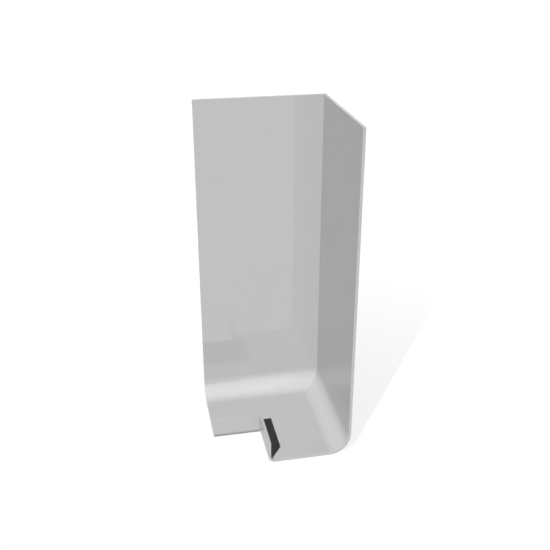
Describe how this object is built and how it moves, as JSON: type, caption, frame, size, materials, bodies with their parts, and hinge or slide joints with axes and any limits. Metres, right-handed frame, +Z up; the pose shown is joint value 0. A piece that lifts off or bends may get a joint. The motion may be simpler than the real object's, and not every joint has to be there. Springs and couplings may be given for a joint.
{
  "type": "gutter corner",
  "caption": "One-piece right-angled corner cover for gutter boards: tall walls, a rounded nose, a flat tray under the boards and an upturned lip that catches behind them.",
  "frame": {"origin": "centre of the base's box, on the underside of the tray", "axes": "+Z up the walls, +X along the left leg towards the outside corner, +Y along the right leg towards the outside corner"},
  "size_m": [0.079, 0.079, 0.2],
  "materials": {
    "grey_gloss_sheet": "smooth even gloss, neutral light grey"
  },
  "bodies": {
    "root": {"gutter_corner": "grey_gloss_sheet"}
  },
  "joints": []
}
